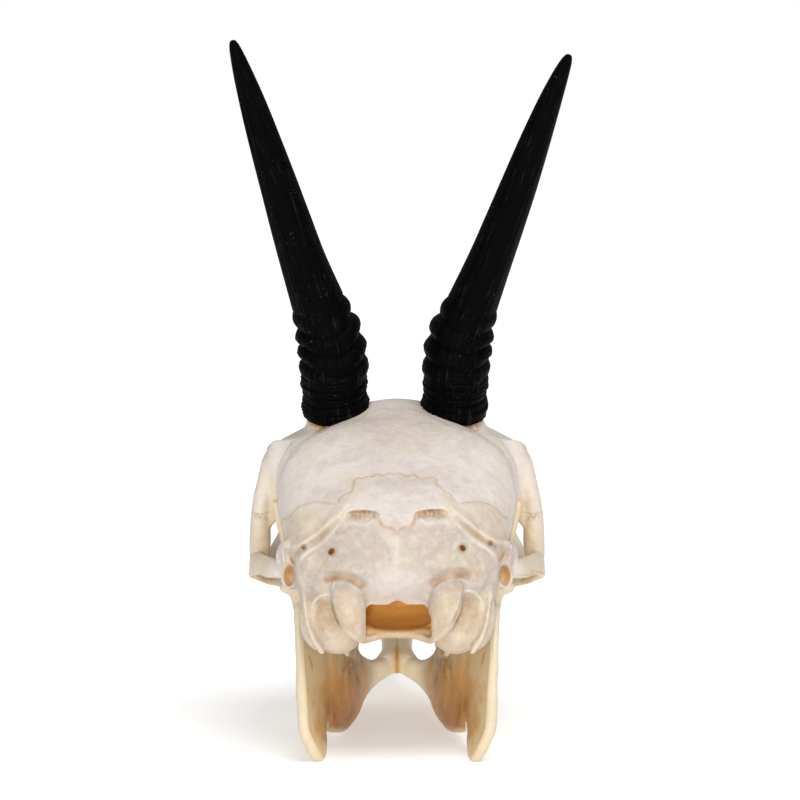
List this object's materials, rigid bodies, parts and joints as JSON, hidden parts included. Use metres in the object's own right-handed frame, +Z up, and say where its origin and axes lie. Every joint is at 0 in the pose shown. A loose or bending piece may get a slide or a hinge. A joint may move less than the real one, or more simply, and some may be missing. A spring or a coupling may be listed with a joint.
{
  "type": "duiker skull",
  "caption": "Life-size skull of a duiker ram with lower jaw, teeth and ringed black horn sheaths, lying on its lower jaw as a museum shelf model.",
  "frame": {"origin": "middle of the bounding box's bottom face, on the surface the lower jaw lies on", "axes": "+Z up, +Y from the occipital condyles to the snout, +X to the skull's right side"},
  "size_m": [0.091, 0.178, 0.1914],
  "materials": {
    "bone": "dry ivory bone, satin, with tan sutures and hollows",
    "jaw_bone": "dry bone, warmer and stained brown on the inner faces",
    "horn": "near-black horn sheath, ringed at the foot, satin"
  },
  "bodies": {
    "root": {"cranium": "bone", "cheek_bone_left": "bone", "premaxilla_left": "bone", "nasal_left": "bone", "cheek_bone_right": "bone", "premaxilla_right": "bone", "nasal_right": "bone", "mandible_left": "jaw_bone", "mandible_right": "jaw_bone", "horn_left": "horn", "horn_right": "horn"}
  },
  "joints": []
}
